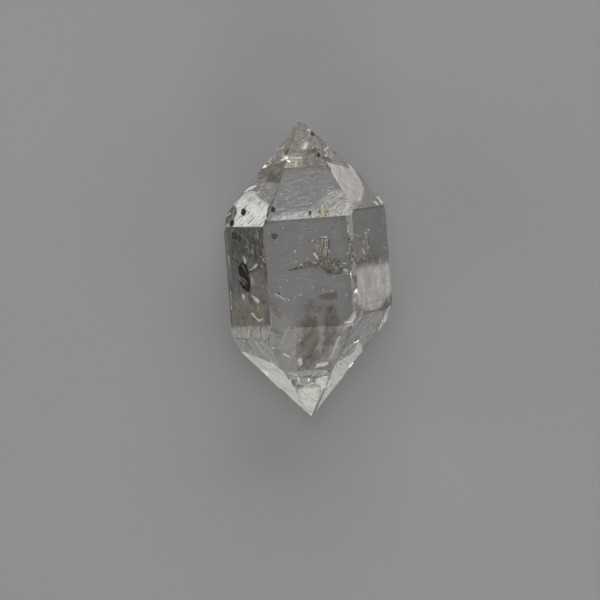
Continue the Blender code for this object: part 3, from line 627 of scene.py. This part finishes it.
def direction(azimuth, elevation):
    a, e = math.radians(azimuth), math.radians(elevation)
    return Vector((math.sin(a) * math.cos(e), math.cos(a) * math.cos(e), math.sin(e)))


def add_object(name, data):
    added = bpy.data.objects.new(name, data)
    bpy.context.scene.collection.objects.link(added)
    return added


def camera_axes(back, roll):
    right = Vector((0.0, 1.0, 0.0)).cross(back).normalized()
    up = back.cross(right)
    return (math.cos(roll) * right - math.sin(roll) * up,
            math.sin(roll) * right + math.cos(roll) * up)


class PhotoView:
    """The photograph's view: straight down on the crystal but for a few degrees."""

    def __init__(self):
        pixel = LENGTH / TIP_TO_TIP_PIXELS
        back = Vector((-math.sin(CAMERA_YAW) * math.cos(CAMERA_PITCH), math.sin(CAMERA_PITCH),
                       math.cos(CAMERA_YAW) * math.cos(CAMERA_PITCH)))
        right, up = camera_axes(back, CAMERA_ROLL)
        self.place = CAMERA_CENTRE + back * CAMERA_DISTANCE
        aim = CAMERA_CENTRE + (right * AIM_RIGHT_PIXELS + up * AIM_UP_PIXELS) * pixel
        self.back = (self.place - aim).normalized()
        self.right, self.up = camera_axes(self.back, CAMERA_ROLL)
        self.focal_pixels = CAMERA_DISTANCE / pixel

    def ray(self, x, y):
        """Which way the camera looks through a pixel."""
        side = (x - IMAGE_SIDE / 2) / self.focal_pixels
        rise = (IMAGE_SIDE / 2 - y) / self.focal_pixels
        return (self.right * side + self.up * rise - self.back).normalized()

    def add_camera(self):
        data = bpy.data.cameras.new("camera")
        data.sensor_width = SENSOR_WIDTH
        data.lens = self.focal_pixels / IMAGE_SIDE * SENSOR_WIDTH
        data.clip_start, data.clip_end = CAMERA_REACH
        camera = add_object("camera", data)
        axes = Matrix((self.right, self.up, self.back)).transposed().to_4x4()
        camera.matrix_world = Matrix.Translation(self.place) @ axes
        bpy.context.scene.camera = camera


def add_soft_box(name, azimuth, elevation, wide, high, radiance, colour):
    towards = direction(azimuth, elevation)
    data = bpy.data.lights.new(name, "AREA")
    data.shape = "ELLIPSE"
    data.size = 2.0 * LIGHT_DISTANCE * math.tan(math.radians(wide / 2))
    data.size_y = 2.0 * LIGHT_DISTANCE * math.tan(math.radians(high / 2))
    area = math.pi / 4 * data.size * data.size_y
    data.energy = radiance * math.pi * area
    data.color = colour
    light = add_object(name, data)
    light.location = towards * LIGHT_DISTANCE
    light.rotation_mode = "QUATERNION"
    light.rotation_quaternion = towards.to_track_quat("Z", "Y")


def set_inputs(node, values):
    for name, value in values.items():
        node.inputs[name].default_value = value


def link_ramp(tree, source, stops, socket):
    """Colours a socket by a source from 0 to 1 and the positions and colours of a ramp."""
    ramp = tree.nodes.new("ShaderNodeValToRGB")
    elements = ramp.color_ramp.elements
    for position, _ in stops[1:-1]:
        elements.new(position)
    for element, (position, colour) in zip(elements, stops):
        element.position = position
        element.color = (*colour, 1.0)
    tree.links.new(source, ramp.inputs["Fac"])
    tree.links.new(ramp.outputs["Color"], socket)


def add_sky():
    world = bpy.data.worlds.new("soft_sky")
    world.use_nodes = True
    bpy.context.scene.world = world
    tree = world.node_tree
    places = tree.nodes.new("ShaderNodeTexCoord")
    split = tree.nodes.new("ShaderNodeSeparateXYZ")
    tree.links.new(places.outputs["Generated"], split.inputs[0])
    link_ramp(tree, split.outputs["Z"], SKY, tree.nodes["Background"].inputs["Color"])


def grey(value):
    return (value, value, value)


def noise_in(tree, vector, scale, detail=4.0, roughness=0.55, distortion=0.0):
    """A noise from 0 to 1 over some coordinates."""
    node = tree.nodes.new("ShaderNodeTexNoise")
    set_inputs(node, {"Scale": scale, "Detail": detail, "Roughness": roughness, "Distortion": distortion})
    tree.links.new(vector, node.inputs["Vector"])
    return node.outputs["Fac"]


def stretched(tree, vector, scale, turn=0.0):
    """Coordinates turned about Z and then scaled, so that a noise becomes lines."""
    node = tree.nodes.new("ShaderNodeMapping")
    node.vector_type = "TEXTURE"
    set_inputs(node, {"Rotation": (0.0, 0.0, turn), "Scale": scale})
    tree.links.new(vector, node.inputs["Vector"])
    return node.outputs["Vector"]


def maths(tree, operation, first, second, clamp=False):
    node = tree.nodes.new("ShaderNodeMath")
    node.operation = operation
    node.use_clamp = clamp
    for socket, value in zip(node.inputs, (first, second)):
        if isinstance(value, (int, float)):
            socket.default_value = value
        else:
            tree.links.new(value, socket)
    return node.outputs[0]


def link_bump(tree, height, strength, distance, shader):
    bump = tree.nodes.new("ShaderNodeBump")
    set_inputs(bump, {"Strength": strength, "Distance": distance})
    tree.links.new(height, bump.inputs["Height"])
    tree.links.new(bump.outputs["Normal"], shader.inputs["Normal"])


def new_material(name):
    material = bpy.data.materials.new(name)
    material.use_nodes = True
    tree = material.node_tree
    return material, tree, tree.nodes["Principled BSDF"]


def object_places(tree):
    return tree.nodes.new("ShaderNodeTexCoord").outputs["Object"]


def face_places_node(tree):
    """Across and along the face in millimetres, as vector coordinates."""
    node = tree.nodes.new("ShaderNodeUVMap")
    node.uv_map = "face_places"
    return node.outputs["UV"]


def cover_node(tree):
    """How much stuff there is at each point of a mesh."""
    node = tree.nodes.new("ShaderNodeAttribute")
    node.attribute_name = "cover"
    return node.outputs["Fac"]


def quartz_material():
    """Clear quartz: plain transmission, IOR and absorption, with the finest growth lines as bump."""
    material, tree, shader = new_material("quartz")
    set_inputs(shader, {"Transmission Weight": 1.0, "IOR": QUARTZ_IOR})
    places = object_places(tree)
    mottle = noise_in(tree, places, 450.0)
    link_ramp(tree, mottle, [(0.3, (0.985, 0.985, 0.98)), (0.7, grey(1.0))], shader.inputs["Base Color"])
    etch = noise_in(tree, places, 900.0, detail=5.0)
    link_ramp(tree, etch, [(0.55, grey(0.0)), (0.8, grey(0.09))], shader.inputs["Roughness"])
    lines = noise_in(tree, stretched(tree, places, (3.0, 0.35, 3.0)), 1500.0, detail=3.0)
    link_bump(tree, lines, 0.05, 0.01 * MM, shader)
    absorption = tree.nodes.new("ShaderNodeVolumeAbsorption")
    set_inputs(absorption, {"Color": (*ABSORPTION_COLOUR, 1.0), "Density": ABSORPTION_DENSITY})
    tree.links.new(absorption.outputs["Volume"], tree.nodes["Material Output"].inputs["Volume"])
    return material


def film_material(name, tones, lines, turn, gain, contrast, grain=6.0, roughness=0.45, metallic=0.0,
                  specular=0.3, at=None):
    """A thin stuff whose lines and grains set its tone and how much of it there is."""
    material, tree, shader = new_material(name)
    places = face_places_node(tree)
    drawn = noise_in(tree, stretched(tree, places, (*lines, 1.0), math.radians(turn)), 1.0,
                     roughness=0.6, distortion=0.5)
    grains = noise_in(tree, places, grain, roughness=0.7)
    both = maths(tree, "ADD", maths(tree, "MULTIPLY", drawn, LINE_SHARE),
                 maths(tree, "MULTIPLY", grains, 1.0 - LINE_SHARE))
    spread = maths(tree, "MULTIPLY", maths(tree, "SUBTRACT", both, 0.5), NOISE_SPREAD)
    mixed = maths(tree, "ADD", spread, 0.5, clamp=True)
    stops = list(zip(at or np.linspace(0.0, 1.0, len(tones)), tones))
    link_ramp(tree, mixed, stops, shader.inputs["Base Color"])
    uneven = maths(tree, "MULTIPLY", maths(tree, "SUBTRACT", mixed, 0.5), contrast)
    share = maths(tree, "ADD", uneven, gain, clamp=True)
    tree.links.new(maths(tree, "MULTIPLY", share, cover_node(tree)), shader.inputs["Alpha"])
    set_inputs(shader, {"Roughness": roughness, "Metallic": metallic, "Specular IOR Level": specular})
    link_bump(tree, mixed, 0.6 if metallic else 0.3, 0.03 * MM, shader)
    return material


@cache
def stuff_material(name):
    return film_material(name, **STUFFS[name])


def gas_material():
    """What fills a bubble: its IOR is air's over quartz's, so that light bends as out of quartz."""
    material, tree, shader = new_material("gas")
    set_inputs(shader, {"Transmission Weight": 1.0, "IOR": 1.0 / QUARTZ_IOR, "Roughness": 0.0})
    cloud = noise_in(tree, object_places(tree), 3000.0)
    link_ramp(tree, cloud, [(0.3, grey(0.95)), (0.7, grey(1.0))], shader.inputs["Base Color"])
    return material


def floor_material():
    material, tree, shader = new_material("pale_floor")
    cloud = noise_in(tree, object_places(tree), 14.0, detail=3.0)
    low, high = (tuple(c * share for c in FLOOR_ALBEDO) for share in FLOOR_MOTTLE)
    link_ramp(tree, cloud, [(0.3, low), (0.7, high)], shader.inputs["Base Color"])
    set_inputs(shader, {"Roughness": 0.8, "Specular IOR Level": 0.3})
    return material


def add_floor():
    mesh = bpy.data.meshes.new("floor")
    bm = bmesh.new()
    bmesh.ops.create_grid(bm, x_segments=8, y_segments=8, size=FLOOR_SIDE / 2)
    bm.to_mesh(mesh)
    bm.free()
    floor = add_object("floor", mesh)
    floor.location.z = cad_low.z - FLOOR_GAP
    mesh.materials.append(floor_material())


class Face:
    """One of the crystal's main faces, with axes across it and along it.

    along runs towards the head on a prism face, and away from its own tip on a pyramid face.
    """

    def __init__(self, part, side, offset):
        bearing = math.radians(BEARING[side])
        lean, start = PARTS[part]
        self.part = part
        self.side = side
        self.normal = Vector((math.sin(bearing) * math.cos(lean), math.sin(lean),
                              math.cos(bearing) * math.cos(lean)))
        self.across = Vector((0.0, 1.0, 0.0)).cross(self.normal).normalized()
        self.along = self.normal.cross(self.across).normalized()
        if part == "head":
            self.along = -self.along
        self.offset = offset
        self.origin = start + self.normal * (offset - self.normal.dot(start))

    def point(self, across, along, depth=0.0):
        """The point this far across and along the face and this deep below it, all in millimetres."""
        return self.origin + (self.across * across + self.along * along - self.normal * depth) * MM

    def seen(self, pixel, depth=0.0):
        """Across and along, in millimetres, where a pixel's ray comes this deep below the face."""
        ray = view.ray(*pixel)
        entry = view.place + ray * ((self.offset - self.normal.dot(view.place)) / self.normal.dot(ray))
        ratio = 1.0 / QUARTZ_IOR
        cosine = -ray.dot(self.normal)
        bent_cosine = math.sqrt(1.0 - ratio ** 2 * (1.0 - cosine ** 2))
        bent = ratio * ray + (ratio * cosine - bent_cosine) * self.normal
        off = (entry + bent * (depth * MM / -bent.dot(self.normal)) - self.origin) / MM
        return off.dot(self.across), off.dot(self.along)

    def seen_point(self, pixel, depth):
        return self.point(*self.seen(pixel, depth), depth)

    def outline(self, pixels, depth=0.0):
        return np.array([self.seen(p, depth) for p in pixels])


def clean_solid(source):
    """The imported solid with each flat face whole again."""
    bm = bmesh.new()
    bm.from_mesh(source.data)
    bmesh.ops.remove_doubles(bm, verts=bm.verts, dist=WELD_DISTANCE)
    bmesh.ops.dissolve_limit(bm, angle_limit=FLAT_ANGLE, verts=bm.verts[:], edges=bm.edges[:])
    bm.verts.index_update()
    return bm


def main_faces(bm):
    """The main faces, each as far out as the middle of its area lies."""
    found = {}
    for part in PARTS:
        for side in BEARING:
            normal = Face(part, side, 0.0).normal
            lying = sorted((normal.dot(f.calc_center_median()), f.calc_area()) for f in bm.faces
                           if f.normal.dot(normal) > math.cos(SAME_FACE_ANGLE))
            half = sum(area for _, area in lying) / 2
            for offset, area in lying:
                half -= area
                if half <= 0.0:
                    break
            found[part, side] = Face(part, side, offset)
    return found


def inside(places, outline):
    """True for each of the places, rows of two numbers, that the outline goes round."""
    x, y = places[:, 0, None], places[:, 1, None]
    ends = np.roll(outline, -1, axis=0)
    (ax, ay), (bx, by) = outline.T, ends.T
    rise = np.where(by == ay, 1.0, by - ay)
    crossed = (ay > y) != (by > y)
    return (crossed & (x < (bx - ax) * (y - ay) / rise + ax)).sum(axis=1) % 2 == 1


def edge_distance(places, outline):
    """How far each place is from the outline."""
    ends = np.roll(outline, -1, axis=0)
    nearest = np.full(len(places), np.inf)
    for start, end in zip(outline, ends):
        way = end - start
        share = np.clip(((places - start) @ way) / max(way @ way, 1e-12), 0.0, 1.0)
        off = places - start - share[:, None] * way
        nearest = np.minimum(nearest, np.hypot(off[:, 0], off[:, 1]))
    return nearest


def grid_inside(outline):
    """Points of a staggered grid, one apart, that keep clear of the outline."""
    low, high = outline.min(axis=0), outline.max(axis=0)
    rows = np.arange(math.ceil(low[1] / ROW_SHARE), high[1] / ROW_SHARE)
    columns = np.arange(math.floor(low[0]), high[0] + 1.0)
    if not len(rows) or not len(columns):
        return np.empty((0, 2))
    x, y = np.meshgrid(columns, rows)
    places = np.stack([(x + 0.5 * (y % 2)).ravel(), (y * ROW_SHARE).ravel()], axis=1)
    places = places[inside(places, outline)]
    return places[edge_distance(places, outline) > GRID_CLEARANCE]


def triangulated(outline):
    """Places and triangles of a near-regular mesh inside an outline whose unit is one cell.

    Also says for each place which point of the outline it is, or -1.
    """
    places = [Vector(p) for p in (*outline, *grid_inside(outline))]
    flat, _, triangles, kept, _, _ = geometry.delaunay_2d_cdt(
        places, [], [list(range(len(outline)))], 1, SAME_POINT)
    from_outline = [found[0] if found and found[0] < len(outline) else -1 for found in kept]
    return flat, triangles, from_outline


def fill_face(normal, ring, points, cell):
    """Near-regular triangles over one flat face. New points are added to points."""
    across = Vector((0.0, 1.0, 0.0)).cross(normal)
    if across.length < 0.01:
        across = Vector((1.0, 0.0, 0.0)).cross(normal)
    across.normalize()
    along = normal.cross(across)
    start = points[ring[0]].copy()
    outline = np.array([((points[i] - start).dot(across), (points[i] - start).dot(along))
                        for i in ring]) / cell
    flat, triangles, from_outline = triangulated(outline)
    names = []
    for place, known in zip(flat, from_outline):
        if known >= 0:
            names.append(ring[known])
        else:
            names.append(len(points))
            points.append(start + (across * place.x + along * place.y) * cell)
    return [[names[i] for i in triangle] for triangle in triangles]


def fine_mesh(bm, cell):
    """The solid's points and triangles with a fine grid on each face."""
    points = [v.co.copy() for v in bm.verts]
    between = {}
    for edge in bm.edges:
        start, end = (v.co for v in edge.verts)
        steps = max(1, round(edge.calc_length() / cell))
        between[edge] = list(range(len(points), len(points) + steps - 1))
        points += [start.lerp(end, i / steps) for i in range(1, steps)]
    triangles = []
    for face in bm.faces:
        ring = []
        for loop in face.loops:
            inner = between[loop.edge]
            forward = loop.edge.verts[0] == loop.vert
            ring += [loop.vert.index, *(inner if forward else inner[::-1])]
        triangles += fill_face(face.normal, ring, points, cell)
    return np.array([tuple(p) for p in points]), np.array(triangles)


def smooth(low, high, value):
    share = np.clip((value - low) / (high - low), 0.0, 1.0)
    return share * share * (3.0 - 2.0 * share)


def waves(places, scale, seed, turn=0.0):
    """Noise from -1 to 1 at rows of two numbers, after a turn and a scale along each axis."""
    c, s = math.cos(turn), math.sin(turn)
    x = (places[:, 0] * c + places[:, 1] * s) * scale[0]
    y = (places[:, 1] * c - places[:, 0] * s) * scale[1]
    return np.array([noise.noise((a, b, seed)) for a, b in zip(x, y)])


def soft_patch(places, outline, edge):
    """1 inside the outline and 0 outside, with an edge this soft, in millimetres."""
    signed = edge_distance(places, outline) * np.where(inside(places, outline), 1.0, -1.0)
    return smooth(-edge, edge, signed)


def relief(face, places):
    """The height of the growth relief on a face, in millimetres, at rows of two millimetres."""
    height = SWELL_HEIGHT * waves(places, *SWELL)
    if face.part == "prism":
        patch = smooth(*PRISM_PATCH_FADE, waves(places, *PRISM_PATCH))
        lines = waves(places, *PRISM_LINES) + FINE_LINE_SHARE * waves(places, *PRISM_FINE_LINES)
        return height + PRISM_LINE_HEIGHT * patch * lines
    patch = smooth(*PYRAMID_PATCH_FADE, waves(places, *PYRAMID_PATCH))
    lines = waves(places, *PYRAMID_LINES)
    height = height + (PYRAMID_LINE_HEIGHT + PYRAMID_PATCH_HEIGHT * patch) * lines
    rough = ROUGH_PATCHES.get((face.part, face.side))
    if rough:
        pixels, depth, turn = rough
        strength = depth * soft_patch(places, face.outline(pixels), ROUGH_EDGE)
        height = height + strength * (waves(places, *ROUGH_LINES, math.radians(turn))
                                      + ROUGH_GRAIN_SHARE * waves(places, *ROUGH_GRAINS))
    return height


def faces_met(points, listed):
    """For each point the main face it lies on, and how far it is from the nearest other one."""
    normals = np.array([f.normal for f in listed])
    depths = np.array([f.offset for f in listed]) - points @ normals.T
    own = depths.argmin(axis=1)
    rows = np.arange(len(points))
    cosines = (normals @ normals.T)[own]
    sines = np.sqrt(np.clip(1.0 - cosines ** 2, 1e-6, None))
    gaps = (depths - depths[rows, own][:, None] * cosines) / sines
    gaps[rows, own] = np.inf
    return own, gaps.min(axis=1)


def face_places(face, points):
    """Across and along a face, in millimetres, at rows of points."""
    off = (points - np.array(face.origin)) / MM
    return np.stack([off @ np.array(face.across), off @ np.array(face.along)], axis=1)


class Shape:
    """A mesh in the making: points, triangles, how much stuff each point has, and its face places."""

    def __init__(self, points, triangles, cover, places):
        self.points = np.array([tuple(p) for p in points]).reshape(-1, 3)
        self.triangles = np.array(triangles, int).reshape(-1, 3)
        self.cover = np.array(cover, float)
        self.places = np.array(places, float).reshape(-1, 2)


def make_piece(name, shapes, material):
    """One object of several shapes, which rides on the crystal."""
    starts = np.cumsum([0, *(len(s.points) for s in shapes)])[:-1]
    triangles = np.concatenate([s.triangles + start for s, start in zip(shapes, starts)])
    mesh = bpy.data.meshes.new(name)
    mesh.from_pydata(np.concatenate([s.points for s in shapes]).tolist(), [], triangles.tolist())
    mesh.materials.append(material)
    mesh.shade_smooth()
    cover = mesh.attributes.new("cover", "FLOAT", "POINT")
    cover.data.foreach_set("value", np.concatenate([s.cover for s in shapes]).astype(np.float32))
    places = np.concatenate([s.places for s in shapes]).astype(np.float32)
    layer = mesh.uv_layers.new(name="face_places")
    corners = np.empty(len(mesh.loops), np.int32)
    mesh.loops.foreach_get("vertex_index", corners)
    layer.data.foreach_set("uv", places[corners].ravel())
    piece = add_object(name, mesh)
    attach(piece, "root")
    return piece


def build_crystal():
    """The crystal's whole surface, with its growth lines in relief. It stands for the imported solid."""
    bm = clean_solid(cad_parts["quartz_crystal"])
    faces.update(main_faces(bm))
    points, triangles = fine_mesh(bm, CELL)
    bm.free()
    listed = list(faces.values())
    own, gap = faces_met(points, listed)
    fade = smooth(*EDGE_FADE, gap)
    places = np.zeros((len(points), 2))
    for k, face in enumerate(listed):
        mine = own == k
        places[mine] = face_places(face, points[mine])
        height = relief(face, places[mine]) * fade[mine] * MM
        points[mine] += height[:, None] * np.array(face.normal)
    points = np.clip(points, np.array(cad_low), np.array(cad_high))
    shape = Shape(points, triangles, np.ones(len(points)), places)
    crystal = make_piece("crystal", [shape], quartz_material())
    crystal.data.set_sharp_from_angle(angle=SHARP_ANGLE)
    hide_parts("quartz_crystal")
    return points, triangles, own


def skin(surface, key, edge, strength, lift, pixels):
    """A film on part of one face: the surface's own triangles there, raised a little."""
    points, triangles, own = surface
    face = faces[key]
    k = list(faces).index(key)
    corners = triangles[(own[triangles] == k).all(axis=1)]
    used = np.unique(corners)
    amount = np.zeros(len(points))
    amount[used] = strength * soft_patch(face_places(face, points[used]), face.outline(pixels), edge)
    corners = corners[(amount[corners] > LEAST_COVER).any(axis=1)]
    used, small = np.unique(corners, return_inverse=True)
    raised = points[used] + np.array(face.normal) * SKIN_LIFT * lift
    return Shape(raised, small, amount[used], face_places(face, points[used]))


def wobbled(outline, step, amount):
    """The outline in finer steps, each moved a little."""
    rim = []
    for start, end in zip(outline, np.roll(outline, -1, axis=0)):
        steps = max(1, round(math.dist(start, end) / step))
        for i in range(steps):
            rim.append(start + (end - start) * i / steps
                       + np.array((rng.uniform(-amount, amount), rng.uniform(-amount, amount))))
    return np.array(rim)


def lens(key, depth, thick, tilt, soft, cell, pixels):
    """A thin closed piece of stuff below a face, outlined in pixels."""
    face = faces[key]
    rim = wobbled(face.outline(pixels, depth), RIM_STEP, RIM_WOBBLE)
    middle = rim.mean(axis=0)
    flat, triangles, from_outline = triangulated(rim / cell)
    places = np.array([tuple(p) for p in flat]) * cell
    inwards = edge_distance(places, rim)
    on_rim = np.array(from_outline) >= 0
    inwards[on_rim] = 0.0
    cover = smooth(COVER_START * soft, soft, inwards)
    rise = thick / 2 * np.sqrt(smooth(0.0, max(soft, LEAST_ROUNDING), inwards))
    uneven = LENS_UNEVEN * thick * waves(places, LENS_WAVES, depth)
    deep = depth - (places - middle) @ np.array(tilt) + uneven
    upper = [face.point(*p, d - r) for p, d, r in zip(places, deep, rise)]
    lower = [face.point(*p, d + r) for p, d, r in zip(places, deep, rise)]
    below = np.where(on_rim, np.arange(len(places)), np.arange(len(places)) + len(places))
    triangles = np.array([t for t in triangles if not on_rim[list(t)].all()], int).reshape(-1, 3)
    both = np.concatenate([triangles, below[triangles[:, ::-1]]])
    used, small = np.unique(both, return_inverse=True)
    points = np.array([tuple(p) for p in (*upper, *lower)])[used]
    return Shape(points, small, np.tile(cover, 2)[used], np.tile(places, (2, 1))[used])


def ball(centre, half, seed, turned=0.0, uneven=GRAIN_UNEVEN, finer=2):
    """A small grain: half holds its half sizes in millimetres."""
    bm = bmesh.new()
    bmesh.ops.create_icosphere(bm, subdivisions=finer, radius=1.0)
    for vert in bm.verts:
        vert.co *= 1.0 + uneven * noise.noise(vert.co * GRAIN_WAVES + Vector((seed, 0.0, 0.0)))
        vert.co = Vector(a * b for a, b in zip(vert.co, half)) * MM
    bmesh.ops.rotate(bm, verts=bm.verts[:], cent=(0.0, 0.0, 0.0),
                     matrix=Matrix.Rotation(math.radians(turned), 3, "Z"))
    bm.verts.index_update()
    points = np.array([tuple(v.co + centre) for v in bm.verts])
    triangles = [[v.index for v in f.verts] for f in bm.faces]
    places = np.array([tuple(v.co.xy / MM) for v in bm.verts]) + seed
    bm.free()
    return Shape(points, triangles, np.ones(len(points)), places)


def grain(key, depth, pixel, across_pixels, longer=1.0, turned=0.0):
    """A grain at a pixel, this many pixels wide."""
    half = across_pixels / 2 * LENGTH / MM / TIP_TO_TIP_PIXELS
    seed = sum(pixel) % MOST_GRAIN_SEED
    return ball(faces[key].seen_point(pixel, depth), (half, half * longer, half), seed, turned)


def bubble(key, depth, pixel, radius):
    """A round bubble at a pixel."""
    return ball(faces[key].seen_point(pixel, depth), (radius, radius, radius), 0.0, uneven=0.0, finer=3)


def ring(key, depth, pixel, radius, thick, high, around=36, section=12):
    """A slightly lobed ring at a pixel. thick and high are half its section's sizes in millimetres."""
    centre = faces[key].seen_point(pixel, depth)
    points, triangles = [], []
    for i in range(around):
        a = 2 * math.pi * i / around
        for j in range(section):
            b = 2 * math.pi * j / section
            out = radius + thick * math.cos(b) * (1.0 + RING_UNEVEN * math.sin(RING_LOBES * a))
            points.append(centre + Vector((out * math.cos(a), out * math.sin(a), high * math.sin(b))) * MM)
            here, beside = i * section, (i + 1) % around * section
            k = (j + 1) % section
            triangles += [(here + j, beside + j, beside + k), (here + j, beside + k, here + k)]
    places = np.array([(p.x / MM, p.y / MM) for p in points])
    return Shape(points, triangles, np.ones(len(points)), places)


def add_films(surface):
    """Everything thin that lies on the faces."""
    for name, stuff, rows in FILMS:
        skins = [skin(surface, *row, pixels) for *row, outlines in rows for pixels in outlines]
        make_piece(name, skins, stuff_material(stuff))


def add_inclusions():
    """Everything inside the crystal but the bubbles and sparks. Each lens draws its rim from rng."""
    for name, stuff, lenses, rings, grains in INCLUSIONS:
        shapes = [lens(*row) for row in lenses]
        shapes += [ring(*row) for row in rings]
        shapes += [grain(*row) for row in grains]
        make_piece(name, shapes, stuff_material(stuff))


def add_sparks():
    """Tiny grains scattered through the upper half of the crystal, two bright to each dark one."""
    sparks, dots = [], []
    for number in range(SPARKS):
        face = faces[rng.choice(SPARK_FACES)]
        across = rng.uniform(*SPARK_ACROSS)
        along = rng.uniform(*SPARK_ALONG[face.part])
        if face.part != "prism":
            across *= along / SPARK_FULL_SPREAD
        size = rng.choice(SPARK_SIZES)
        place = face.point(across, along, rng.uniform(*SPARK_DEPTH))
        half = (size, size * rng.uniform(*SPARK_LONGER), size)
        small = ball(place, half, number, rng.uniform(0.0, 180.0))
        (sparks if number % 3 else dots).append(small)
    make_piece("tiny_sparks", sparks, stuff_material("white_healing"))
    make_piece("tiny_dots", dots, stuff_material("grey_film"))


def main():
    scene = bpy.context.scene
    scene.view_settings.view_transform = "Standard"
    scene.cycles.max_bounces = MOST_BOUNCES
    scene.cycles.glossy_bounces = MOST_BOUNCES
    scene.cycles.transmission_bounces = MOST_BOUNCES
    scene.cycles.transparent_max_bounces = MOST_BOUNCES
    view.add_camera()
    for box in SOFT_BOXES:
        add_soft_box(*box)
    add_sky()
    add_floor()
    add_films(build_crystal())
    add_inclusions()
    make_piece("gas_bubbles", [bubble(*row) for row in BUBBLES], gas_material())
    add_sparks()


rng = random.Random(SEED)
faces = {}
view = PhotoView()
main()
